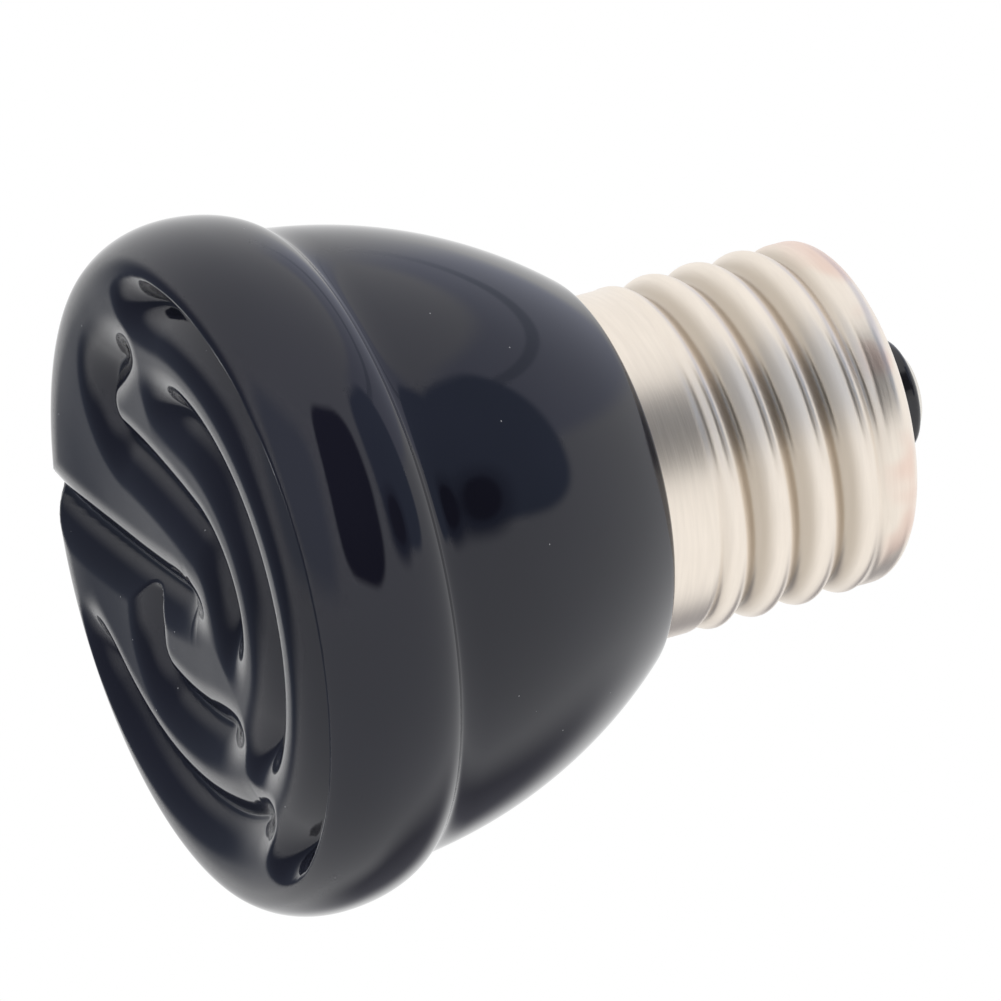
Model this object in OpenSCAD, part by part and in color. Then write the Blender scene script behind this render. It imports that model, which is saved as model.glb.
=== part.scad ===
// Ceramic heat emitter with a swirl face and a screw cap.
// It stands on its face: the face is down at z = 0 and the cap points up.

/* [Head] */
// Radius of the rim at its widest circle
rim_r = 25.8; // [25:0.1:27]
// Height of the widest circle above the face
rim_mid_z = 5.4; // [4.5:0.1:7]
// Radius of the crest that the rim stands on
crest_r = 22.4; // [22.2:0.1:23.4]
// Radius of the dome where the back of the rim meets it
valley_r = 22.9; // [22.5:0.05:24]
// Height at which the back of the rim ends
rim_back_z = 11.4; // [10:0.1:14]
// Height at which the dome meets the cap
dome_top_z = 32.5; // [31:0.1:36]
// Radius of the dome's edge at the cap
dome_top_r = 14.9; // [14:0.05:15.5]
// Radius of the curve along the dome's side
dome_curve_r = 38.3; // [36:0.1:45]
// Radius of the ceramic neck inside the cap
neck_r = 11; // [10:0.1:11.3]
// Length of the ceramic neck inside the cap
neck_len = 11; // [7:0.5:12]

/* [Swirl face] */
// Depth of the grooves below the ridges
groove_depth = 1.7; // [0.8:0.1:2.4]
// Depth of the outer half ring, which is the foot of the rim
outer_depth = 2.5; // [1.5:0.1:3]
// Half the width of a groove, from its sharp bottom to the ridge top
groove_half_w = 3.4; // [2.4:0.1:3.6]
// How sharp the groove bottom is: 1 is a plain V, more is a rounder ridge
groove_power = 2.1; // [1.5:0.1:3]
// Rounding of the groove's bottom line
groove_soft = 0.2; // [0.1:0.05:0.5]
// Length over which a groove's end runs out
run_out = 5; // [3:0.5:7]
// Depth of the ridges in the middle of the face below the rim's crest
dish_depth = 0.45; // [0.3:0.05:1]
// Distance between two of the concentric grooves
groove_pitch = 7; // [6.8:0.05:7.1]

/* [Screw cap] */
// Outer radius of the thread's crests
thread_crest_r = 13.15; // [13.05:0.05:13.2]
// Outer radius of the thread's roots
thread_root_r = 12.1; // [12:0.05:12.3]
// Pitch of the thread
thread_pitch = 3.629; // [3.5:0.01:3.7]
// Number of turns that the thread makes
thread_turns = 4.15; // [3:0.05:4.5]
// Thickness of the rolled sheet
sheet = 0.35; // [0.25:0.05:0.45]
// Outer radius of the plain skirt below the thread
skirt_r = 12.95; // [12.8:0.05:13.1]
// Length of the plain skirt
skirt_len = 4; // [2:0.1:5]
// Radius of the hole in the closed end of the shell
shell_hole_r = 5.2; // [4.6:0.1:6]
// Height of the shoulder between the thread and the closed end
shoulder_h = 3.6; // [3:0.1:4.5]

/* [Contact] */
// Radius of the glass boss that carries the contact
boss_r = 4.3; // [3.9:0.1:4.5]
// Height of the glass boss above the shell's end
boss_h = 3; // [2:0.1:4]
// Radius of the centre contact
contact_r = 3.3; // [2.6:0.1:3.5]
// Height of the centre contact above the glass boss
contact_h = 0.7; // [0.4:0.1:1.2]
// Radius of the two lead wires
lead_r = 0.45; // [0.3:0.05:0.6]
// Distance of the return lead from the axis where it leaves the neck
return_lead_x = 8; // [6:0.5:9]

/* [Hidden] */
$fn = 96;

// Small overlap that keeps cuts clean
eps = 0.01;
// Running clearance between inner pieces
clear = 0.05;

// Centre of the dome's curve: the arc passes the dome's top edge
dome_centre_z = 8.1;
dome_centre_r = dome_top_r - sqrt(pow(dome_curve_r, 2) - pow(dome_top_z - dome_centre_z, 2));
function dome_r(z) = dome_centre_r + sqrt(pow(dome_curve_r, 2) - pow(z - dome_centre_z, 2));

// Heights along the cap
skirt_z = dome_top_z;
thread_z = skirt_z + skirt_len;
shoulder_z = thread_z + thread_pitch * thread_turns;
shell_top_z = shoulder_z + shoulder_h;
boss_top_z = shell_top_z + boss_h;
contact_top_z = boss_top_z + contact_h;
neck_top_z = dome_top_z + neck_len;

// A point of an ellipse quarter with half axes a and b about (x, z)
function ellipse_at(x, z, a, b, t) = [x + a * cos(t), z + b * sin(t)];
// A point of a curve with three control points
function bend_at(p, q, r, t) = pow(1 - t, 2) * p + 2 * t * (1 - t) * q + t * t * r;

// Outline of the rim and dome, from the crest round the outside to the cap
arc_step = 10;
back_end = 75;
blend_top_z = rim_back_z + 1.2;
rim_front = [for (t = [-90 : arc_step : 0])
    ellipse_at(crest_r, rim_mid_z, rim_r - crest_r, rim_mid_z, t)];
rim_back = [for (t = [15 : 15 : back_end])
    ellipse_at(valley_r, rim_mid_z, rim_r - valley_r, rim_back_z - rim_mid_z, t)];
rim_back_end = rim_back[len(rim_back) - 1];
blend = [for (i = [1 : 5])
    bend_at(rim_back_end, [valley_r + 0.2, rim_back_z],
            [dome_r(blend_top_z), blend_top_z], i / 5)];
dome_edge = 0.4;
dome_steps = 14;
dome_line = [for (i = [1 : dome_steps])
    let (z = blend_top_z + (dome_top_z - dome_edge - blend_top_z) * i / dome_steps)
    [dome_r(z), z]];
head_outline = concat(
    [[0, 0]], rim_front, rim_back, blend, dome_line,
    [[dome_top_r - dome_edge, dome_top_z], [neck_r, dome_top_z],
     [neck_r, neck_top_z], [0, neck_top_z]]);

// Each groove is [start x, start y, heading, runs out at its start, runs out at its end,
// depth, arcs] and each arc is [radius, turn], where a turn to the left is positive.
outer_start = 81;
outer_shift = [1, 0.4];
middle_start = 76;
middle_shift = [0.3, 0.6];
inner_r = 6.3;
groove_paths = [
    // Outer half ring
    [outer_shift[0] + 3 * groove_pitch * cos(outer_start),
     outer_shift[1] + 3 * groove_pitch * sin(outer_start),
     outer_start - 90, true, true, outer_depth, [[3 * groove_pitch, -168]]],
    // Middle half ring
    [middle_shift[0] + 2 * groove_pitch * cos(middle_start),
     middle_shift[1] + 2 * groove_pitch * sin(middle_start),
     middle_start - 90, true, true, groove_depth, [[2 * groove_pitch, -156]]],
    // Inner half ring, which runs on into the hook
    [2.9, 7, -23, true, true, groove_depth, [[inner_r, -117], [77, -9], [3.3, 134], [20, 22]]],
    // Lead-in from the notch in the rim to the middle
    [-25, -11.1, 35, false, true, groove_depth, [[103, -15], [80, -3]]],
    // Quarter ring that leaves the lead-in
    [-8.6, 0.3, 128, false, true, groove_depth, [[12.5, -12], [3.9, -80], [20.4, -40]]],
    // Wide quarter ring from the left edge
    [-21.4, -1.4, 80, true, true, groove_depth, [[23.2, -82], [59, -5]]]];

// Turns one groove into arcs of [centre, radius, start angle, turn, length before]
function sign_of(v) = v < 0 ? -1 : 1;
function arc_len(arc) = arc[0] * abs(arc[1]) * PI / 180;
function path_len(arcs, i = 0) = i == len(arcs) ? 0 : arc_len(arcs[i]) + path_len(arcs, i + 1);
function arcs_of(pos, heading, arcs, done, i = 0) =
    i == len(arcs) ? [] :
    let (r = arcs[i][0], turn = arcs[i][1], side = heading + 90 * sign_of(turn),
         centre = pos + r * [cos(side), sin(side)],
         end = centre - r * [cos(side + turn), sin(side + turn)])
    concat([[centre, r, side + 180, turn, done]],
           arcs_of(end, heading + turn, arcs, done + arc_len(arcs[i]), i + 1));
grooves = [for (g = groove_paths)
    [arcs_of([g[0], g[1]], g[2], g[6], 0), path_len(g[6]), g[3], g[4], g[5]]];

// How deep a groove is along its length: it runs out at its free ends
function ease(t) = t <= 0 ? 0 : t >= 1 ? 1 : t * t * (3 - 2 * t);
function fade(s, total, out_at_start, out_at_end) =
    min(out_at_start ? ease(s / run_out) : 1, out_at_end ? ease((total - s) / run_out) : 1);
// How deep a groove is across its width
function flank(d) =
    let (t = norm([d, groove_soft]) - groove_soft)
    t >= groove_half_w ? 0 : pow(1 - t / groove_half_w, groove_power);
// Depth that one arc gives at point p
function wrap(a) = a - 360 * floor(a / 360);
function arc_cut(p, arc, total, out_at_start, out_at_end) =
    let (v = p - arc[0], turn = arc[3],
         swept = wrap(sign_of(turn) * (atan2(v[1], v[0]) - arc[2])),
         over = swept > (abs(turn) + 360) / 2 ? 0 : min(swept, abs(turn)),
         at = arc[2] + sign_of(turn) * over,
         d = norm(v - arc[1] * [cos(at), sin(at)]))
    flank(d) * fade(arc[4] + arc[1] * over * PI / 180, total, out_at_start, out_at_end);
// Depth of the face below the rim's crest at point p
function swirl(p) = max([for (g = grooves) for (arc = g[0])
    g[4] * arc_cut(p, arc, g[1], g[2], g[3])]);
crest_flat = 0.3;
function dish(r) = dish_depth * (1 - pow(r / (crest_r - crest_flat), 4));
function face_depth(p) = dish(norm(p)) + swirl(p);

// The cutter that carves the swirl: a round plate whose top follows the face
ring_step = groove_pitch / 8;
face_sectors = 108;
plate_r = crest_r + 0.8;
plate_low = -2;
ring_r = concat([for (r = [ring_step : ring_step : crest_r]) r], [plate_r]);
rings = len(ring_r);
function around(r, i) = r * [cos(360 * i / face_sectors), sin(360 * i / face_sectors)];
function on_top(k, i) = 1 + k * face_sectors + i % face_sectors;
function on_base(i) = 1 + rings * face_sectors + i % face_sectors;

module swirl_cutter() {
    top = [for (r = ring_r) for (i = [0 : face_sectors - 1])
        let (p = around(r, i)) [p[0], p[1], face_depth(p)]];
    base = [for (i = [0 : face_sectors - 1])
        let (p = around(plate_r, i)) [p[0], p[1], plate_low]];
    middle = [[0, 0, face_depth([0, 0])]];
    base_middle = 1 + (rings + 1) * face_sectors;
    sectors = [0 : face_sectors - 1];
    polyhedron(
        points = concat(middle, top, base, [[0, 0, plate_low]]),
        faces = concat(
            [for (i = sectors) [0, on_top(0, i + 1), on_top(0, i)]],
            [for (k = [0 : rings - 2]) for (i = sectors)
                [on_top(k, i), on_top(k, i + 1), on_top(k + 1, i)]],
            [for (k = [0 : rings - 2]) for (i = sectors)
                [on_top(k, i + 1), on_top(k + 1, i + 1), on_top(k + 1, i)]],
            [for (i = sectors) [on_top(rings - 1, i), on_top(rings - 1, i + 1), on_base(i)]],
            [for (i = sectors) [on_top(rings - 1, i + 1), on_base(i + 1), on_base(i)]],
            [for (i = sectors) [base_middle, on_base(i), on_base(i + 1)]]));
}

// The notch where the lead-in groove leaves through the rim
notch_len = 5.4;
notch_steps = 6;
module rim_notch() {
    lead_in = groove_paths[3];
    half = [for (i = [0 : notch_steps]) groove_half_w * (1 - i / notch_steps)];
    left = [for (x = half) [-x, groove_depth * flank(x)]];
    right = [for (i = [notch_steps - 1 : -1 : 0]) [half[i], groove_depth * flank(half[i])]];
    translate([lead_in[0], lead_in[1], 0])
        rotate([90, 0, 90 + lead_in[2]])
            linear_extrude(notch_len)
                polygon(concat([[-groove_half_w, plate_low]], left, right,
                               [[groove_half_w, plate_low]]));
}

module ceramic_body() {
    color([0.12, 0.12, 0.15])
        difference() {
            rotate_extrude() polygon(head_outline);
            swirl_cutter();
            rim_notch();
        }
}

// Cement that fills the gap between the ceramic neck and the cap
module cap_cement() {
    skirt_inner = skirt_r - sheet;
    thread_inner = thread_root_r - sheet - clear;
    color([0.75, 0.73, 0.68])
        rotate_extrude()
            polygon([[neck_r, skirt_z], [skirt_inner, skirt_z],
                     [skirt_inner, thread_z - 0.6], [thread_inner, thread_z],
                     [thread_inner, neck_top_z], [neck_r, neck_top_z]]);
}

// Radius of the thread's outer face at a height and an angle
crest_angle = -90;
crest_z = 41.05;
thread_h = thread_pitch * thread_turns;
function wave(t) = (1 + cos(360 * t)) / 2;
blend_h = 1.6;
join_h = 0.3;
join_inset = 0.08;
function thread_r(z, a) =
    let (lift = wave((z - crest_z) / thread_pitch - (a - crest_angle) / 360),
         blend_in = ease((z - thread_z - join_h) / blend_h),
         blend_out = ease((shoulder_z - join_h - z) / blend_h),
         plain = skirt_r - join_inset)
    plain + (thread_root_r + (thread_crest_r - thread_root_r) * lift - plain)
          * blend_in * blend_out;

// The rolled thread: one wall of even thickness between two wavy grids
thread_sectors = 48;
thread_rows = 27;
function thread_row_z(k) =
    k == 0 ? thread_z - join_h :
    k == thread_rows ? shoulder_z + join_h :
    thread_z + join_h + (thread_h - 2 * join_h) * (k - 1) / (thread_rows - 2);
function on_thread(side, k, i) =
    (side * (thread_rows + 1) + k) * thread_sectors + i % thread_sectors;
module rolled_thread() {
    points = [for (side = [0, 1]) for (k = [0 : thread_rows]) for (i = [0 : thread_sectors - 1])
        let (a = 360 * i / thread_sectors, z = thread_row_z(k),
             r = thread_r(z, a) - side * (sheet - 2 * join_inset))
        [r * cos(a), r * sin(a), z]];
    sectors = [0 : thread_sectors - 1];
    polyhedron(points = points, faces = concat(
        [for (k = [0 : thread_rows - 1]) for (i = sectors)
            [on_thread(0, k, i), on_thread(0, k + 1, i), on_thread(0, k, i + 1)]],
        [for (k = [0 : thread_rows - 1]) for (i = sectors)
            [on_thread(0, k, i + 1), on_thread(0, k + 1, i), on_thread(0, k + 1, i + 1)]],
        [for (k = [0 : thread_rows - 1]) for (i = sectors)
            [on_thread(1, k, i), on_thread(1, k, i + 1), on_thread(1, k + 1, i)]],
        [for (k = [0 : thread_rows - 1]) for (i = sectors)
            [on_thread(1, k, i + 1), on_thread(1, k + 1, i + 1), on_thread(1, k + 1, i)]],
        [for (i = sectors) [on_thread(0, 0, i), on_thread(0, 0, i + 1), on_thread(1, 0, i)]],
        [for (i = sectors) [on_thread(0, 0, i + 1), on_thread(1, 0, i + 1), on_thread(1, 0, i)]],
        [for (i = sectors) [on_thread(0, thread_rows, i), on_thread(1, thread_rows, i),
                            on_thread(0, thread_rows, i + 1)]],
        [for (i = sectors) [on_thread(0, thread_rows, i + 1), on_thread(1, thread_rows, i),
                            on_thread(1, thread_rows, i + 1)]]));
}

// The closed end of the shell: an even wall that curves in to the hole
end_rise = 0.9;
function shoulder_line(inset) = concat(
    [[skirt_r - inset, shoulder_z]],
    [for (t = [0 : 15 : 90])
        ellipse_at(skirt_r - shoulder_h, shoulder_z + 2 * join_h, shoulder_h - inset,
                   shoulder_h - 2 * join_h - end_rise - inset, t)],
    [[shell_hole_r, shell_top_z - inset]]);
module shell_end() {
    outer = shoulder_line(0);
    inner = shoulder_line(sheet);
    rotate_extrude()
        polygon(concat(outer, [for (i = [len(inner) - 1 : -1 : 0]) inner[i]]));
}

module tube_wall(r_out, wall, z, h) {
    translate([0, 0, z])
        difference() {
            cylinder(r = r_out, h = h);
            translate([0, 0, -eps]) cylinder(r = r_out - wall, h = h + 2 * eps);
        }
}

module screw_shell() {
    color([0.82, 0.78, 0.72])
        union() {
            tube_wall(skirt_r, sheet, skirt_z, skirt_len);
            rolled_thread();
            shell_end();
        }
}

// Glass that closes the shell's end and carries the contact on a boss
flange_r = shell_hole_r + 2.2;
flange_h = 2;
function under_end(r) =
    shell_top_z - sheet - clear
    - end_rise * (r - shell_hole_r) / (skirt_r - shoulder_h - shell_hole_r);
seat_depth = 0.6;
lead_hole_r = lead_r + 0.25;
boss_round = 0.6;
module cap_insulator() {
    low = shell_top_z - sheet - flange_h;
    hole_fit_r = shell_hole_r - clear;
    color([0.05, 0.05, 0.06])
        rotate_extrude()
            polygon(concat(
                [[lead_hole_r, low], [flange_r, low], [flange_r, under_end(flange_r)],
                 [hole_fit_r, under_end(shell_hole_r)], [hole_fit_r, shell_top_z],
                 [boss_r, shell_top_z + 0.25]],
                [for (t = [0 : 15 : 90])
                    ellipse_at(boss_r - boss_round, boss_top_z - boss_round,
                               boss_round, boss_round, t)],
                [[contact_r, boss_top_z], [contact_r, boss_top_z - seat_depth],
                 [lead_hole_r, boss_top_z - seat_depth]]));
}

// Domed metal contact with a flat top, seated in the glass boss
contact_land_r = contact_r - 0.9;
module centre_contact() {
    color([0.8, 0.78, 0.74])
        rotate_extrude()
            polygon([[0, boss_top_z - seat_depth], [contact_r, boss_top_z - seat_depth],
                     [contact_r, boss_top_z + contact_h * 0.35],
                     [contact_r - 0.3, contact_top_z - contact_h * 0.2],
                     [contact_land_r, contact_top_z], [0, contact_top_z]]);
}

// Straight wire from the neck to the contact
module contact_lead() {
    color([0.7, 0.68, 0.64])
        translate([0, 0, neck_top_z])
            cylinder(r = lead_r, h = boss_top_z - seat_depth - neck_top_z, $fn = 24);
}

// Bent wire from the neck to the inside of the shell
return_bend_r = 1.5;
module return_lead() {
    reach = thread_root_r - sheet - clear;
    out_len = reach - return_lead_x - return_bend_r;
    bend_z = neck_top_z + 1.5;
    color([0.7, 0.68, 0.64]) {
        translate([return_lead_x, 0, neck_top_z])
            cylinder(r = lead_r, h = bend_z - neck_top_z, $fn = 24);
        translate([return_lead_x + return_bend_r, 0, bend_z])
            rotate([90, 0, 0]) rotate([0, 0, 90])
                rotate_extrude(angle = 90, $fn = 32)
                    translate([return_bend_r, 0]) circle(r = lead_r, $fn = 24);
        translate([return_lead_x + return_bend_r, 0, bend_z + return_bend_r])
            rotate([0, 90, 0])
                cylinder(r = lead_r, h = out_len, $fn = 24);
    }
}

ceramic_body();
cap_cement();
screw_shell();
cap_insulator();
centre_contact();
contact_lead();
return_lead();
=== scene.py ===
from math import cos, radians, sin, sqrt

import bmesh
import bpy
from mathutils import Matrix, Vector


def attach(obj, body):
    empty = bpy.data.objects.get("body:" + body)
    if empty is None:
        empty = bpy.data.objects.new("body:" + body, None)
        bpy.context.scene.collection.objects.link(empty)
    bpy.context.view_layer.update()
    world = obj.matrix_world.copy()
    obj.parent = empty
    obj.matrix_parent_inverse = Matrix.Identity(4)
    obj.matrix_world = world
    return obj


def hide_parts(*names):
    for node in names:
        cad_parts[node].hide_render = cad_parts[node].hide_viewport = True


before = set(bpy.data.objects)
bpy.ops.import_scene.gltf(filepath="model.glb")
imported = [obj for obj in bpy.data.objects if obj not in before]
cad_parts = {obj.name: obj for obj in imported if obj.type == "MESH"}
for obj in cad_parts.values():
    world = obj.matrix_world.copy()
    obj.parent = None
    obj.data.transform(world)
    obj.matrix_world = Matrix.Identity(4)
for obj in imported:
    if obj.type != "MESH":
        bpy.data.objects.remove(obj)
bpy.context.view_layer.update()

MM = 0.001

# Head, in millimetres
RIM_R = 25.8
RIM_MID_Z = 5.4
CREST_R = 22.4
VALLEY_R = 22.9
RIM_BACK_Z = 11.4
BLEND_TOP_Z = 13.4
FACE_EDGE_R = 21.4
DOME_TOP_Z = 32.5
DOME_TOP_R = 14.9
DOME_EDGE = 0.4
DOME_CURVE_R = 38.3
DOME_CENTRE_Z = 8.1
NECK_R = 11.0
NECK_TOP_Z = 43.5
HEAD_SECTORS = 360
CORNER_STEPS = 14
RIM_FRONT_STEPS = 14
RIM_BACK_STEPS = 16
VALLEY_STEPS = 16
DOME_STEPS = 44
EDGE_STEPS = 4

# Where the rim's round meets the corner of the face and the valley behind it, in degrees
FACE_BEND = -55.0
VALLEY_BEND = 67.0

# Swirl face, in millimetres; a groove's tail keeps a share of its width and is softer
GROOVE_DEPTH = 1.7
OUTER_DEPTH = 2.5
GROOVE_HALF_W = 3.4
GROOVE_POWER = 2.1
GROOVE_SOFT = 0.2
RUN_OUT = 7.0
TAIL_WIDTH = 0.6
TAIL_SOFT = 0.9
DISH_DEPTH = 0.45
CREST_FLAT = 0.3
PITCH = 7.0
FACE_STEP = 0.25

# Screw cap, in millimetres
CREST_THREAD_R = 13.15
ROOT_THREAD_R = 12.1
THREAD_PITCH = 3.629
THREAD_TURNS = 4.15
SHEET = 0.35
SKIRT_R = 12.95
SKIRT_LEN = 4.0
SKIRT_Z = DOME_TOP_Z
THREAD_Z = SKIRT_Z + SKIRT_LEN
SHOULDER_Z = THREAD_Z + THREAD_PITCH * THREAD_TURNS
SHOULDER_H = 3.6
SHELL_TOP_Z = SHOULDER_Z + SHOULDER_H
SHELL_HOLE_R = 5.2
END_RISE = 0.9
JOIN_H = 0.3
BLEND_H = 1.6
CREST_ANGLE = -90.0
CREST_Z = 41.05
SHELL_SECTORS = 240
SKIRT_STEPS = 4
THREAD_STEPS = 90
SHOULDER_STEPS = 16
END_STEPS = 8

# The photograph's view: the angle between the line of sight and the part's axis, the axis's
# turn in the picture, and the pixel and distance of the face's centre
VIEW_TILT = 68.5
VIEW_TURN = -15.0
VIEW_FOCAL_PX = 12000.0
IMAGE_PX = 1001
FACE_PIXEL = (179.99, 585.19)
FACE_DISTANCE = 0.86357
SENSOR_MM = 36.0

# Finish of the cap, in millimetres: the heights between which the end is tinted and painted shade
# darkens the thread's roots, how soft those limits are, and how deep a root lies below the crest
TINT_LOW_Z = 50.0
TINT_HIGH_Z = 55.0
TINT_SOFT = 2.0
ROOT_SHADE_TOP_Z = 52.0
ROOT_SHADE_SOFT = 1.0
ROOT_SHADE_START_R = 13.05
ROOT_SHADE_H = 0.9

# The studio, in metres and in strengths of light
MIDDLE = Vector((0, 0, 0.029))
FLOOR_HALF = 3.0
WORLD_LIGHT = 0.62
CARD_STEPS = 40


def is_socket(value):
    return isinstance(value, bpy.types.NodeSocket)


class Sums:
    """Writes sums as nodes of one tree."""

    def __init__(self, tree):
        self.tree = tree

    def node(self, kind, **settings):
        node = self.tree.nodes.new(kind)
        for name, value in settings.items():
            setattr(node, name, value)
        return node

    def feed(self, socket, value):
        if is_socket(value):
            self.tree.links.new(value, socket)
        else:
            socket.default_value = value

    def math(self, operation, *values, clamp=False):
        node = self.node("ShaderNodeMath", operation=operation, use_clamp=clamp)
        for socket, value in zip(node.inputs, values):
            self.feed(socket, value)
        return node.outputs[0]

    def add(self, a, b):
        return self.math("ADD", a, b)

    def sub(self, a, b):
        return self.math("SUBTRACT", a, b)

    def mul(self, a, b):
        return self.math("MULTIPLY", a, b)

    def div(self, a, b):
        return self.math("DIVIDE", a, b)

    def low(self, a, b):
        return self.math("MINIMUM", a, b)

    def high(self, a, b):
        return self.math("MAXIMUM", a, b)

    def ease(self, t):
        """Smooth step from 0 to 1, flat outside."""
        inside = self.math("ADD", t, 0.0, clamp=True)
        return self.mul(self.mul(inside, inside), self.sub(3.0, self.mul(2.0, inside)))

    def split(self, vector):
        node = self.node("ShaderNodeSeparateXYZ")
        self.feed(node.inputs[0], vector)
        return node.outputs[0], node.outputs[1], node.outputs[2]

    def join(self, x, y, z):
        node = self.node("ShaderNodeCombineXYZ")
        for socket, value in zip(node.inputs, (x, y, z)):
            self.feed(socket, value)
        return node.outputs[0]


def new_tree(name, numbers):
    """A geometry tree with one named input for each size."""
    tree = bpy.data.node_groups.new(name, "GeometryNodeTree")
    tree.interface.new_socket("Geometry", in_out="INPUT", socket_type="NodeSocketGeometry")
    for label in numbers:
        tree.interface.new_socket(label, in_out="INPUT", socket_type="NodeSocketFloat")
    tree.interface.new_socket("Geometry", in_out="OUTPUT", socket_type="NodeSocketGeometry")
    sums = Sums(tree)
    source = sums.node("NodeGroupInput")
    return tree, sums, source.outputs


def close_tree(sums, geometry, material):
    """Ends a geometry tree: instances made real, and the material set."""
    real = sums.node("GeometryNodeRealizeInstances")
    paint = sums.node("GeometryNodeSetMaterial")
    paint.inputs["Material"].default_value = material
    out = sums.node("NodeGroupOutput")
    links = sums.tree.links
    links.new(geometry, real.inputs[0])
    links.new(real.outputs[0], paint.inputs["Geometry"])
    links.new(paint.outputs[0], out.inputs[0])


def shaped(name, mesh, tree, numbers):
    """Runs a tree on a mesh and gives the finished plain piece."""
    draft = bpy.data.objects.new(name + "_draft", mesh)
    bpy.context.scene.collection.objects.link(draft)
    modifier = draft.modifiers.new("shape", "NODES")
    modifier.node_group = tree
    for item in tree.interface.items_tree:
        if item.in_out == "INPUT" and item.name in numbers:
            modifier[item.identifier] = numbers[item.name]
    draft.update_tag()
    bpy.context.view_layer.update()
    graph = bpy.context.evaluated_depsgraph_get()
    made = bpy.data.meshes.new_from_object(draft.evaluated_get(graph), depsgraph=graph)
    draft.modifiers.remove(modifier)
    bpy.data.objects.remove(draft)
    made.name = name
    made.transform(Matrix.Scale(MM, 4))
    return placed(name, made)


def placed(name, mesh):
    piece = bpy.data.objects.new(name, mesh)
    bpy.context.scene.collection.objects.link(piece)
    for face in mesh.polygons:
        face.use_smooth = True
    return piece


def lathe(name, outline, sectors):
    """Turns an outline of (radius, height) about the axis; points on the axis are one vertex."""
    shape = bmesh.new()
    rings = []
    for radius, height in outline:
        if radius < 1e-6:
            rings.append([shape.verts.new((0, 0, height))])
            continue
        ring = []
        for i in range(sectors):
            angle = radians(360 * i / sectors)
            ring.append(shape.verts.new((radius * cos(angle), radius * sin(angle), height)))
        rings.append(ring)
    for low, high in zip(rings, rings[1:]):
        for i in range(sectors):
            j = (i + 1) % sectors
            corners = []
            for ring, place in ((low, i), (low, j), (high, j), (high, i)):
                corner = ring[place % len(ring)]
                if corner not in corners:
                    corners.append(corner)
            shape.faces.new(corners)
    bmesh.ops.recalc_face_normals(shape, faces=shape.faces)
    mesh = bpy.data.meshes.new(name)
    shape.to_mesh(mesh)
    shape.free()
    return mesh


def spread(low, high, count):
    """Count steps from low to high, without low itself."""
    return [low + (high - low) * (i + 1) / count for i in range(count)]


def dome_r(z):
    top = sqrt(DOME_CURVE_R ** 2 - (DOME_TOP_Z - DOME_CENTRE_Z) ** 2)
    return DOME_TOP_R - top + sqrt(DOME_CURVE_R ** 2 - (z - DOME_CENTRE_Z) ** 2)


def bend_at(p, q, r, t):
    """A point on the curve with the three control points."""
    return tuple((1 - t) ** 2 * a + 2 * t * (1 - t) * b + t * t * c for a, b, c in zip(p, q, r))


def head_outline():
    """The head's outline from the middle of the face to the top of the neck."""
    points = [(0.0, 0.0)]
    for radius in spread(0.0, FACE_EDGE_R, round(FACE_EDGE_R / FACE_STEP)):
        points.append((radius, 0.0))
    t = radians(FACE_BEND)
    wide = RIM_R - CREST_R
    end = (CREST_R + wide * cos(t), RIM_MID_Z + RIM_MID_Z * sin(t))
    middle = (end[0] + end[1] * wide * sin(t) / (RIM_MID_Z * cos(t)), 0.0)
    points += [bend_at(points[-1], middle, end, share) for share in spread(0, 1, CORNER_STEPS)]
    for angle in spread(FACE_BEND, 0, RIM_FRONT_STEPS):
        t = radians(angle)
        points.append((CREST_R + wide * cos(t), RIM_MID_Z + RIM_MID_Z * sin(t)))
    wide = RIM_R - VALLEY_R
    high = RIM_BACK_Z - RIM_MID_Z
    for angle in spread(0, VALLEY_BEND, RIM_BACK_STEPS):
        t = radians(angle)
        points.append((VALLEY_R + wide * cos(t), RIM_MID_Z + high * sin(t)))
    start = points[-1]
    end = (dome_r(BLEND_TOP_Z), BLEND_TOP_Z)
    fall = wide * sin(t) / (high * cos(t))
    above = BLEND_TOP_Z - DOME_CENTRE_Z
    dome_fall = above / sqrt(DOME_CURVE_R ** 2 - above ** 2)
    meet = (start[0] + fall * start[1] - end[0] - dome_fall * end[1]) / (fall - dome_fall)
    middle = (start[0] - fall * (meet - start[1]), meet)
    points += [bend_at(start, middle, end, share) for share in spread(0, 1, VALLEY_STEPS)]
    points += [(dome_r(z), z) for z in spread(BLEND_TOP_Z, DOME_TOP_Z - DOME_EDGE, DOME_STEPS)]
    corner = (DOME_TOP_R, DOME_TOP_Z)
    inner = (DOME_TOP_R - DOME_EDGE, DOME_TOP_Z)
    points += [bend_at(points[-1], corner, inner, t) for t in spread(0, 1, EDGE_STEPS)]
    points += [(NECK_R, DOME_TOP_Z), (NECK_R, NECK_TOP_Z), (0.0, NECK_TOP_Z)]
    return points


# Each groove: start, heading, whether it runs out at its start and its end, depth, and its arcs
# of (radius, turn), where a turn to the left is positive
OUTER_START = 87
OUTER_SHIFT = (1.0, 0.4)
MIDDLE_START = 82
MIDDLE_SHIFT = (0.3, 0.6)


def ring_start(shift, radius, angle):
    return (shift[0] + radius * cos(radians(angle)), shift[1] + radius * sin(radians(angle)))


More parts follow.
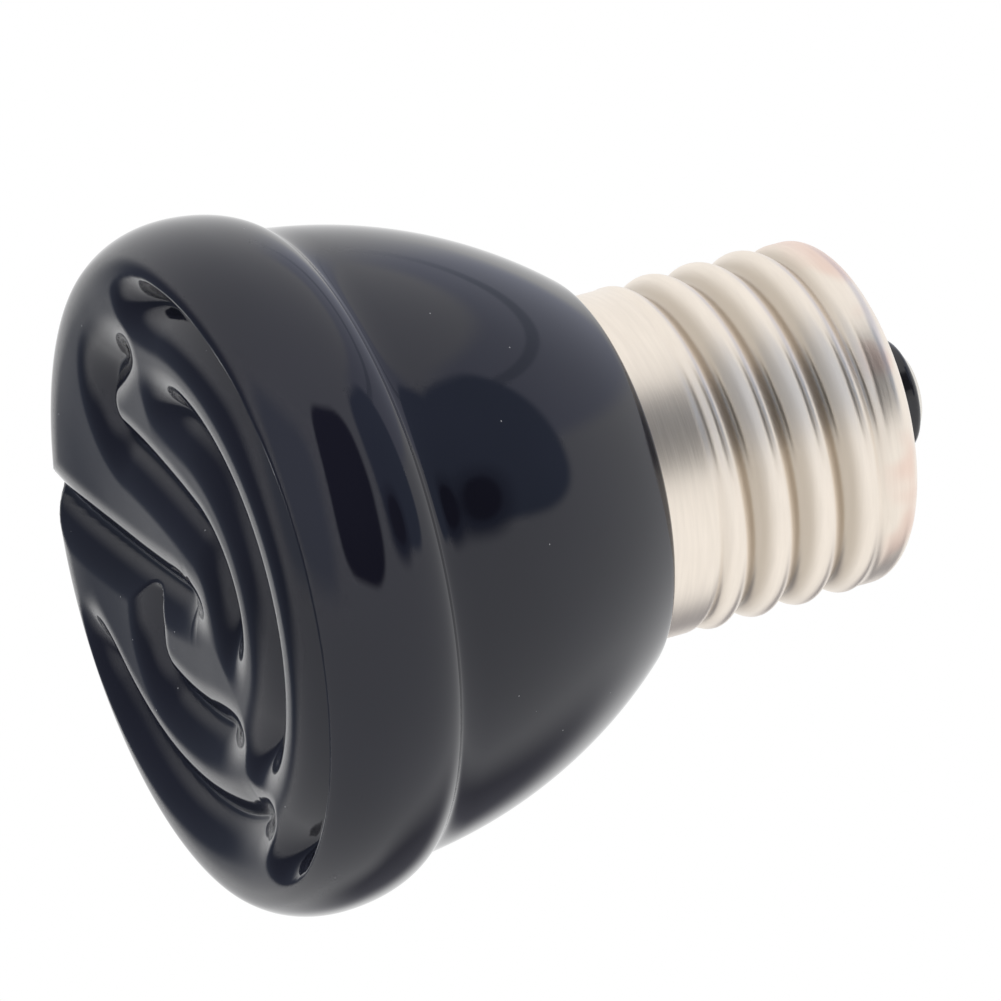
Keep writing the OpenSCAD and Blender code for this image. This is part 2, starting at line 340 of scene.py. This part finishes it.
GROOVES = [
    (ring_start(OUTER_SHIFT, 3 * PITCH, OUTER_START), OUTER_START - 90, True, True, OUTER_DEPTH,
     [(3 * PITCH, -176)]),
    (ring_start(MIDDLE_SHIFT, 2 * PITCH, MIDDLE_START), MIDDLE_START - 90, True, True, GROOVE_DEPTH,
     [(2 * PITCH, -168)]),
    ((2.9, 7.0), -23, True, True, GROOVE_DEPTH, [(6.3, -117), (77, -9), (3.3, 134), (20, 22)]),
    ((-25.0, -11.1), 35, False, True, GROOVE_DEPTH, [(103, -15), (80, -3)]),
    ((-8.6, 0.3), 128, False, True, GROOVE_DEPTH, [(12.5, -12), (3.9, -80), (20.4, -40)]),
    ((-21.4, -1.4), 80, True, True, GROOVE_DEPTH, [(23.2, -82), (59, -5)]),
]


def arcs_of(start, heading, arcs):
    """The arcs of a groove as (centre, radius, start angle, turn, length before)."""
    rows = []
    at = Vector(start)
    done = 0.0
    for radius, turn in arcs:
        hand = -1 if turn < 0 else 1
        side = radians(heading + 90 * hand)
        centre = at + radius * Vector((cos(side), sin(side)))
        out = radians(heading + 90 * hand + turn)
        rows.append((centre, radius, heading + 90 * hand + 180, turn, done))
        at = centre - radius * Vector((cos(out), sin(out)))
        heading += turn
        done += radius * abs(radians(turn))
    return rows, done


def arc_depth_group():
    """Depth that one arc of a groove gives at a point, from 0 to 1."""
    group = bpy.data.node_groups.new("groove_arc", "GeometryNodeTree")
    labels = ("X", "Y", "Centre X", "Centre Y", "Radius", "Start", "Hand", "Turn", "Before",
              "Total", "Open Start", "Open End", "Half Width", "Power", "Run Out", "Softness")
    for label in labels:
        group.interface.new_socket(label, in_out="INPUT", socket_type="NodeSocketFloat")
    group.interface.new_socket("Depth", in_out="OUTPUT", socket_type="NodeSocketFloat")
    sums = Sums(group)
    put = sums.node("NodeGroupInput").outputs
    x = sums.sub(put["X"], put["Centre X"])
    y = sums.sub(put["Y"], put["Centre Y"])
    angle = sums.math("ARCTAN2", y, x)
    swept = sums.mul(put["Hand"], sums.sub(angle, put["Start"]))
    swept = sums.math("FLOORED_MODULO", swept, radians(360))
    far_side = sums.math("GREATER_THAN", swept, sums.add(sums.mul(put["Turn"], 0.5), radians(180)))
    held = sums.low(swept, put["Turn"])
    held = sums.mul(held, sums.sub(1.0, far_side))
    at = sums.add(put["Start"], sums.mul(put["Hand"], held))
    near_x = sums.mul(put["Radius"], sums.math("COSINE", at))
    near_y = sums.mul(put["Radius"], sums.math("SINE", at))
    dx = sums.sub(x, near_x)
    dy = sums.sub(y, near_y)
    along = sums.add(put["Before"], sums.mul(put["Radius"], held))
    start = sums.high(sums.ease(sums.div(along, put["Run Out"])), put["Open Start"])
    rest = sums.sub(put["Total"], along)
    end = sums.high(sums.ease(sums.div(rest, put["Run Out"])), put["Open End"])
    fade = sums.low(start, end)
    half_width = sums.mul(put["Half Width"], sums.add(TAIL_WIDTH, sums.mul(1 - TAIL_WIDTH, fade)))
    soft = sums.add(put["Softness"], sums.mul(TAIL_SOFT, sums.sub(1.0, fade)))
    square = sums.add(sums.add(sums.mul(dx, dx), sums.mul(dy, dy)), sums.mul(soft, soft))
    distance = sums.sub(sums.math("SQRT", square), soft)
    share = sums.math("SUBTRACT", 1.0, sums.div(distance, half_width), clamp=True)
    across = sums.math("POWER", share, put["Power"])
    out = sums.node("NodeGroupOutput")
    group.links.new(sums.mul(across, fade), out.inputs[0])
    return group


def swirl_tree(material):
    """Carves the swirl into the flat face of the turned head."""
    sizes = ("Half Width", "Power", "Run Out", "Softness", "Dish Depth", "Dish Radius")
    tree, sums, put = new_tree("swirl_face", sizes)
    x, y, z = sums.split(sums.node("GeometryNodeInputPosition").outputs[0])
    arc_group = arc_depth_group()
    depth = 0.0
    for start, heading, ends_at_start, ends_at_end, deep, arcs in GROOVES:
        rows, total = arcs_of(start, heading, arcs)
        for centre, radius, angle, turn, before in rows:
            node = sums.node("GeometryNodeGroup", node_tree=arc_group)
            values = {
                "X": x, "Y": y, "Centre X": centre.x, "Centre Y": centre.y, "Radius": radius,
                "Start": radians(angle), "Hand": -1.0 if turn < 0 else 1.0,
                "Turn": radians(abs(turn)), "Before": before, "Total": total,
                "Open Start": 0.0 if ends_at_start else 1.0,
                "Open End": 0.0 if ends_at_end else 1.0, "Half Width": put["Half Width"],
                "Power": put["Power"], "Run Out": put["Run Out"], "Softness": put["Softness"]}
            for label, value in values.items():
                sums.feed(node.inputs[label], value)
            depth = sums.high(depth, sums.mul(deep, node.outputs[0]))
    radius = sums.math("SQRT", sums.add(sums.mul(x, x), sums.mul(y, y)))
    share = sums.math("POWER", sums.div(radius, put["Dish Radius"]), 4.0)
    left = sums.math("SUBTRACT", 1.0, share, clamp=True)
    dish = sums.mul(put["Dish Depth"], sums.mul(left, left))
    carved = sums.add(dish, depth)
    lift = sums.sub(sums.high(carved, z), z)
    move = sums.node("GeometryNodeSetPosition")
    tree.links.new(put["Geometry"], move.inputs["Geometry"])
    tree.links.new(sums.join(0.0, 0.0, lift), move.inputs["Offset"])
    close_tree(sums, move.outputs[0], material)
    return tree


def thread_tree(material):
    """Rolls the thread into the plain wall of the shell."""
    sizes = ("Crest Radius", "Root Radius", "Plain Radius", "Pitch", "Low", "High", "Blend",
             "Crest Height", "Crest Angle")
    tree, sums, put = new_tree("rolled_thread", sizes)
    x, y, z = sums.split(sums.node("GeometryNodeInputPosition").outputs[0])
    turn = sums.div(sums.sub(sums.math("ARCTAN2", y, x), put["Crest Angle"]), radians(360))
    phase = sums.sub(sums.div(sums.sub(z, put["Crest Height"]), put["Pitch"]), turn)
    wave = sums.mul(0.5, sums.add(1.0, sums.math("COSINE", sums.mul(phase, radians(360)))))
    blend_in = sums.ease(sums.div(sums.sub(z, put["Low"]), put["Blend"]))
    blend_out = sums.ease(sums.div(sums.sub(put["High"], z), put["Blend"]))
    rolled = sums.add(put["Root Radius"],
                      sums.mul(sums.sub(put["Crest Radius"], put["Root Radius"]), wave))
    change = sums.mul(sums.sub(rolled, put["Plain Radius"]), sums.mul(blend_in, blend_out))
    radius = sums.math("SQRT", sums.add(sums.mul(x, x), sums.mul(y, y)))
    scale = sums.div(change, radius)
    move = sums.node("GeometryNodeSetPosition")
    tree.links.new(put["Geometry"], move.inputs["Geometry"])
    tree.links.new(sums.join(sums.mul(x, scale), sums.mul(y, scale), 0.0), move.inputs["Offset"])
    close_tree(sums, move.outputs[0], material)
    return tree


def shell_outline():
    """The shell's wall: up the outside, over the end to the hole, and down the inside."""
    def wall(inset):
        points = [(SKIRT_R - inset, SKIRT_Z)]
        points += [(SKIRT_R - inset, z) for z in spread(SKIRT_Z, THREAD_Z, SKIRT_STEPS)]
        bend_z = SHOULDER_Z + 2 * JOIN_H
        bend_h = SHOULDER_H - 2 * JOIN_H - END_RISE - inset
        points += [(SKIRT_R - inset, z) for z in spread(THREAD_Z, bend_z, THREAD_STEPS)]
        for angle in spread(0, 90, SHOULDER_STEPS):
            t = radians(angle)
            bend_r = SKIRT_R - SHOULDER_H + (SHOULDER_H - inset) * cos(t)
            points.append((bend_r, bend_z + bend_h * sin(t)))
        start = points[-1]
        end = (SHELL_HOLE_R, SHELL_TOP_Z - inset)
        for t in spread(0, 1, END_STEPS):
            points.append((start[0] + (end[0] - start[0]) * t, start[1] + (end[1] - start[1]) * t))
        return points
    outer = wall(0.0)
    inner = wall(SHEET)
    return outer + inner[::-1] + outer[:1]


# Materials

def new_material(name):
    material = bpy.data.materials.new(name)
    material.use_nodes = True
    tree = material.node_tree
    shader = tree.nodes["Principled BSDF"]
    return material, Sums(tree), shader


def object_place(sums, scale=(1, 1, 1)):
    place = sums.node("ShaderNodeTexCoord")
    mapping = sums.node("ShaderNodeMapping")
    mapping.inputs["Scale"].default_value = scale
    sums.tree.links.new(place.outputs["Object"], mapping.inputs["Vector"])
    return mapping.outputs["Vector"]


def noise(sums, place, scale, detail=3.0, rough=0.5):
    node = sums.node("ShaderNodeTexNoise")
    sums.tree.links.new(place, node.inputs["Vector"])
    node.inputs["Scale"].default_value = scale
    node.inputs["Detail"].default_value = detail
    node.inputs["Roughness"].default_value = rough
    return node.outputs["Fac"]


def ramp(sums, value, stops):
    node = sums.node("ShaderNodeValToRGB")
    band = node.color_ramp
    band.elements[0].position = stops[0][0]
    band.elements[0].color = (*stops[0][1], 1)
    band.elements[1].position = stops[-1][0]
    band.elements[1].color = (*stops[-1][1], 1)
    for position, colour in stops[1:-1]:
        band.elements.new(position).color = (*colour, 1)
    sums.feed(node.inputs["Fac"], value)
    return node.outputs["Color"]


def blend_colour(sums, share, low, high):
    node = sums.node("ShaderNodeMix", data_type="RGBA")
    sums.feed(node.inputs["Factor"], share)
    for socket, value in ((node.inputs[6], low), (node.inputs[7], high)):
        if is_socket(value):
            sums.tree.links.new(value, socket)
        else:
            socket.default_value = (*value, 1)
    return node.outputs[2]


def set_range(sums, value, low, high):
    node = sums.node("ShaderNodeMapRange")
    sums.feed(node.inputs["Value"], value)
    node.inputs["To Min"].default_value = low
    node.inputs["To Max"].default_value = high
    return node.outputs["Result"]


def bump(sums, shader, height, strength, distance):
    node = sums.node("ShaderNodeBump")
    node.inputs["Strength"].default_value = strength
    node.inputs["Distance"].default_value = distance
    sums.tree.links.new(height, node.inputs["Height"])
    sums.tree.links.new(node.outputs["Normal"], shader.inputs["Normal"])


def black_glaze():
    """Deep black glaze with a blue cast, a slight flow and a few specks of dust."""
    material, sums, shader = new_material("black_glaze")
    place = object_place(sums)
    flow = noise(sums, place, scale=55, detail=2.0)
    colour = ramp(sums, flow, [(0.3, (0.005, 0.005, 0.009)), (0.7, (0.009, 0.009, 0.016))])
    dots = sums.node("ShaderNodeTexVoronoi")
    sums.tree.links.new(place, dots.inputs["Vector"])
    dots.inputs["Scale"].default_value = 520
    near = sums.math("LESS_THAN", dots.outputs["Distance"], 0.03)
    lucky = sums.math("GREATER_THAN", noise(sums, place, scale=170, detail=1.0), 0.56)
    dust = sums.mul(near, lucky)
    shaded = blend_colour(sums, sums.mul(dust, 0.6), colour, (0.5, 0.5, 0.52))
    sums.tree.links.new(shaded, shader.inputs["Base Color"])
    fine = noise(sums, place, scale=900, detail=2.0)
    polish = set_range(sums, fine, low=0.035, high=0.075)
    sums.tree.links.new(sums.add(polish, sums.mul(dust, 0.5)), shader.inputs["Roughness"])
    shader.inputs["IOR"].default_value = 1.5
    shader.inputs["Specular Tint"].default_value = (0.90, 0.92, 1.0, 1)
    waves = noise(sums, place, scale=120, detail=1.0)
    bump(sums, shader, waves, strength=0.06, distance=0.0006)
    return material


def nickel(name, base, warm, rough_low, rough_high):
    """Bright plated sheet with fine turned streaks and faint stains."""
    material, sums, shader = new_material(name)
    place = object_place(sums)
    streaks = noise(sums, object_place(sums, (1, 1, 14)), scale=260, detail=3.0)
    stain = noise(sums, place, scale=70, detail=4.0, rough=0.6)
    tone = ramp(sums, streaks, [(0.3, tuple(c * 0.93 for c in base)), (0.7, base)])
    stained = blend_colour(sums, set_range(sums, stain, low=0.0, high=0.35), tone, warm)
    sums.tree.links.new(stained, shader.inputs["Base Color"])
    shader.inputs["Metallic"].default_value = 1.0
    sums.tree.links.new(set_range(sums, stain, rough_low, rough_high), shader.inputs["Roughness"])
    bump(sums, shader, streaks, strength=0.05, distance=0.0002)
    return material, sums, shader, stained


def height_band(sums, z, low, high, soft):
    """1 between two heights in millimetres and 0 outside them, with soft limits."""
    rise = sums.ease(sums.div(sums.sub(z, low * MM), soft * MM))
    fall = sums.ease(sums.div(sums.sub(high * MM, z), soft * MM))
    return sums.mul(rise, fall)


def shell_metal():
    """Nickel-plated shell with painted shade darkening the thread's roots, and faintly reddish
    towards its end.
    """
    material, sums, shader, stained = nickel(
        "nickel_shell", (0.94, 0.86, 0.77), (0.80, 0.70, 0.58), 0.28, 0.40)
    place = object_place(sums)
    x, y, z = sums.split(place)
    band = height_band(sums, z, TINT_LOW_Z, TINT_HIGH_Z, TINT_SOFT)
    patch = sums.ease(sums.div(sums.sub(noise(sums, place, scale=130, detail=2.0), 0.5), 0.12))
    radius = sums.math("SQRT", sums.add(sums.mul(x, x), sums.mul(y, y)))
    # Painted shade: the thread's roots are darkened towards brown, standing in for the shade that
    # falls into them.
    depth = sums.ease(sums.div(sums.sub(ROOT_SHADE_START_R * MM, radius), ROOT_SHADE_H * MM))
    threaded = height_band(sums, z, THREAD_Z, ROOT_SHADE_TOP_Z, ROOT_SHADE_SOFT)
    painted_root_shade = sums.mul(sums.mul(depth, threaded), 0.75)
    root_shaded_colour = blend_colour(sums, painted_root_shade, stained, (0.46, 0.39, 0.31))
    tint = blend_colour(sums, sums.mul(sums.mul(band, patch), 0.3), root_shaded_colour, (0.75, 0.36, 0.27))
    sums.tree.links.new(tint, shader.inputs["Base Color"])
    return material


def black_glass():
    """Smooth black lamp glass with faint swirls."""
    material, sums, shader = new_material("black_glass")
    place = object_place(sums)
    colour = ramp(sums, noise(sums, place, scale=240, detail=3.0),
                  [(0.35, (0.008, 0.008, 0.010)), (0.7, (0.02, 0.02, 0.026))])
    sums.tree.links.new(colour, shader.inputs["Base Color"])
    fine = noise(sums, place, scale=500, detail=2.0)
    sums.tree.links.new(set_range(sums, fine, low=0.05, high=0.14), shader.inputs["Roughness"])
    shader.inputs["IOR"].default_value = 1.52
    waves = noise(sums, place, scale=350, detail=2.0)
    bump(sums, shader, waves, strength=0.1, distance=0.0003)
    return material


def lamp_cement():
    """Matt grainy cement."""
    material, sums, shader = new_material("lamp_cement")
    place = object_place(sums)
    grain = noise(sums, place, scale=1500, detail=4.0, rough=0.7)
    colour = ramp(sums, grain, [(0.3, (0.52, 0.50, 0.45)), (0.7, (0.74, 0.72, 0.67))])
    sums.tree.links.new(colour, shader.inputs["Base Color"])
    shader.inputs["Roughness"].default_value = 0.9
    bump(sums, shader, grain, strength=0.5, distance=0.0005)
    return material


def dress(node, material):
    """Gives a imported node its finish."""
    piece = bpy.data.objects[node]
    piece.data.materials.clear()
    piece.data.materials.append(material)


# The studio

def stage_piece(name, mesh, material):
    piece = bpy.data.objects.new(name, mesh)
    bpy.context.scene.collection.objects.link(piece)
    mesh.materials.append(material)
    return piece


def pale_floor():
    """Pale floor that shows only to a camera above it, and keeps the part's shadow."""
    material, sums, shader = new_material("pale_floor")
    place = object_place(sums)
    cloud = noise(sums, place, scale=6, detail=2.0)
    colour = ramp(sums, cloud, [(0.3, (0.83, 0.83, 0.84)), (0.7, (0.86, 0.86, 0.87))])
    sums.tree.links.new(colour, shader.inputs["Base Color"])
    shader.inputs["Roughness"].default_value = 0.9
    path = sums.node("ShaderNodeLightPath")
    side = sums.node("ShaderNodeNewGeometry")
    seen = sums.mul(path.outputs["Is Camera Ray"], sums.sub(1.0, side.outputs["Backfacing"]))
    clear = sums.node("ShaderNodeBsdfTransparent")
    mix = sums.node("ShaderNodeMixShader")
    links = sums.tree.links
    links.new(seen, mix.inputs[0])
    links.new(clear.outputs[0], mix.inputs[1])
    links.new(shader.outputs[0], mix.inputs[2])
    links.new(mix.outputs[0], sums.tree.nodes["Material Output"].inputs["Surface"])
    corners = [(x * FLOOR_HALF, y * FLOOR_HALF, 0)
               for x, y in ((-1, -1), (1, -1), (1, 1), (-1, 1))]
    mesh = bpy.data.meshes.new("floor")
    mesh.from_pydata(corners, [], [(0, 1, 2, 3)])
    return stage_piece("floor", mesh, material)


def white_world():
    """White all round for the camera and for reflections, softer as light."""
    world = bpy.data.worlds.new("white_studio")
    bpy.context.scene.world = world
    world.use_nodes = True
    sums = Sums(world.node_tree)
    path = sums.node("ShaderNodeLightPath").outputs
    seen = sums.high(sums.high(path["Is Camera Ray"], path["Is Glossy Ray"]),
                     path["Is Transmission Ray"])
    back = world.node_tree.nodes["Background"]
    back.inputs["Color"].default_value = (1.0, 1.0, 1.0, 1.0)
    strength = sums.add(WORLD_LIGHT, sums.mul(seen, 1 - WORLD_LIGHT))
    world.node_tree.links.new(strength, back.inputs["Strength"])


def view_axes():
    """The picture's right, down and forward directions in the part's own frame."""
    tilt = radians(VIEW_TILT)
    turn = radians(VIEW_TURN)
    right = Vector((cos(turn) * cos(tilt), -sin(turn), cos(turn) * sin(tilt)))
    down = Vector((sin(turn) * cos(tilt), cos(turn), sin(turn) * sin(tilt)))
    forward = Vector((-sin(tilt), 0, cos(tilt)))
    return right, down, forward


def photo_camera():
    """The camera at the photograph's viewing angle."""
    right, down, forward = view_axes()
    across = (FACE_PIXEL[0] - IMAGE_PX / 2) / VIEW_FOCAL_PX * FACE_DISTANCE
    below = (FACE_PIXEL[1] - IMAGE_PX / 2) / VIEW_FOCAL_PX * FACE_DISTANCE
    data = bpy.data.cameras.new("photo_camera")
    data.sensor_width = SENSOR_MM
    data.lens = VIEW_FOCAL_PX / IMAGE_PX * SENSOR_MM
    data.clip_start = 0.01
    data.clip_end = 20
    camera = bpy.data.objects.new("photo_camera", data)
    bpy.context.scene.collection.objects.link(camera)
    turn = Matrix((right, -down, -forward)).transposed().to_4x4()
    place = -(across * right + below * down + FACE_DISTANCE * forward)
    camera.matrix_world = Matrix.Translation(place) @ turn
    bpy.context.scene.camera = camera
    return camera


def picture_way(turn, rise):
    """A direction from the part: degrees to the right of the camera, and degrees up."""
    right, down, forward = view_axes()
    level = cos(radians(rise))
    return (level * sin(radians(turn)) * right - level * cos(radians(turn)) * forward
            - sin(radians(rise)) * down)


def soft_box(name, turn, rise, distance, size, power):
    """A soft lamp that faces the middle of the part, and that no reflection shows."""
    data = bpy.data.lights.new(name, "AREA")
    data.shape = "RECTANGLE"
    data.size, data.size_y = size
    data.energy = power
    lamp = bpy.data.objects.new(name, data)
    bpy.context.scene.collection.objects.link(lamp)
    lamp.location = MIDDLE + distance * picture_way(turn, rise)
    aim = MIDDLE - lamp.location
    lamp.rotation_euler = aim.to_track_quat("-Z", "Y").to_euler()
    lamp.visible_glossy = False
    return lamp


# Cards that the glaze and the plating mirror: turn and rise of the middle, half width and half
# height, all in degrees, then how square and how soft the card is, its distance, and its light
CARDS = {
    "pale_left": ((-28, 10), (34, 34), 4, 0.4, 0.98, (0.62, 0.67, 0.76)),
    "grey_left": ((-105, -2), (43, 32), 4, 0.45, 0.97, (0.16, 0.185, 0.24)),
    "grey_low": ((158, -38), (40, 22), 3, 0.7, 0.96, (0.22, 0.22, 0.25)),
    "pale_right": ((120, 42), (60, 17), 6, 0.3, 0.95, (0.74, 0.77, 0.90)),
    "thin_right": ((120, 46), (58, 1.8), 6, 0.5, 0.94, (0.50, 0.54, 0.64)),
    "blue_right": ((71.5, 30), (20, 24), 3, 0.14, 0.93, (0.26, 0.32, 0.43)),
    "blue_shade": ((62, 14), (11, 14), 2.4, 0.5, 0.925, (0.13, 0.16, 0.22)),
    "dark_spot": ((62, 15), (6.5, 8), 2.2, 0.3, 0.92, (0.02, 0.022, 0.03)),
    "dark_right": ((27.5, 21), (21, 30), 4, 0.10, 0.91, (0.010, 0.010, 0.016)),
}


def reflected_card(name, middle, half, square, soft, distance, light):
    """A patch of a ball round the part that only reflections see, with a soft rounded edge."""
    corners = []
    shares = []
    for i in range(CARD_STEPS + 1):
        for j in range(CARD_STEPS + 1):
            across = 2 * i / CARD_STEPS - 1
            up = 2 * j / CARD_STEPS - 1
            way = picture_way(middle[0] + half[0] * across, middle[1] + half[1] * up)
            corners.append(MIDDLE + distance * way)
            reach = (abs(across) ** square + abs(up) ** square) ** (1 / square)
            share = min(1.0, max(0.0, (1.0 - reach) / soft))
            shares.append(share * share * (3 - 2 * share))
    wide = CARD_STEPS + 1
    tiles = [(i * wide + j, (i + 1) * wide + j, (i + 1) * wide + j + 1, i * wide + j + 1)
             for i in range(CARD_STEPS) for j in range(CARD_STEPS)]
    mesh = bpy.data.meshes.new(name)
    mesh.from_pydata(corners, [], tiles)
    mesh.attributes.new("share", "FLOAT", "POINT").data.foreach_set("value", shares)
    material, sums, shader = new_material(name)
    share = sums.node("ShaderNodeAttribute", attribute_name="share").outputs["Fac"]
    glow = sums.node("ShaderNodeEmission")
    glow.inputs["Color"].default_value = (*light, 1)
    mix = sums.node("ShaderNodeMixShader")
    links = sums.tree.links
    links.new(share, mix.inputs[0])
    links.new(sums.node("ShaderNodeBsdfTransparent").outputs[0], mix.inputs[1])
    links.new(glow.outputs[0], mix.inputs[2])
    links.new(mix.outputs[0], sums.tree.nodes["Material Output"].inputs["Surface"])
    card = stage_piece(name, mesh, material)
    card.visible_camera = False
    card.visible_diffuse = False
    card.visible_shadow = False
    return card


bpy.context.scene.view_settings.view_transform = "Standard"
photo_camera()
white_world()
pale_floor()
soft_box("key", turn=-30, rise=45, distance=0.75, size=(0.35, 0.35), power=2.2)
soft_box("fill", turn=45, rise=20, distance=0.73, size=(0.4, 0.4), power=0.8)
for card_name, card_values in CARDS.items():
    reflected_card(card_name, *card_values)

glaze = black_glaze()
head = shaped("glazed_head", lathe("head_blank", head_outline(), HEAD_SECTORS), swirl_tree(glaze),
              {"Half Width": GROOVE_HALF_W, "Power": GROOVE_POWER,
               "Run Out": RUN_OUT, "Softness": GROOVE_SOFT, "Dish Depth": DISH_DEPTH,
               "Dish Radius": CREST_R - CREST_FLAT})
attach(head, "root")
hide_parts("ceramic_body")

plating = shell_metal()
shell = shaped("threaded_shell", lathe("shell_blank", shell_outline(), SHELL_SECTORS),
               thread_tree(plating),
               {"Crest Radius": CREST_THREAD_R, "Root Radius": ROOT_THREAD_R,
                "Plain Radius": SKIRT_R, "Pitch": THREAD_PITCH, "Low": THREAD_Z + JOIN_H,
                "High": SHOULDER_Z - JOIN_H, "Blend": BLEND_H, "Crest Height": CREST_Z,
                "Crest Angle": radians(CREST_ANGLE)})
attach(shell, "root")
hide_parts("screw_shell")

dress("cap_insulator", black_glass())
dress("cap_cement", lamp_cement())
contact_metal = nickel("plated_contact", (0.80, 0.77, 0.72), (0.66, 0.60, 0.52), 0.18, 0.34)[0]
dress("centre_contact", contact_metal)
wire_metal = nickel("lead_wire_metal", (0.72, 0.70, 0.66), (0.60, 0.52, 0.44), 0.25, 0.45)[0]
dress("contact_lead", wire_metal)
dress("return_lead", wire_metal)
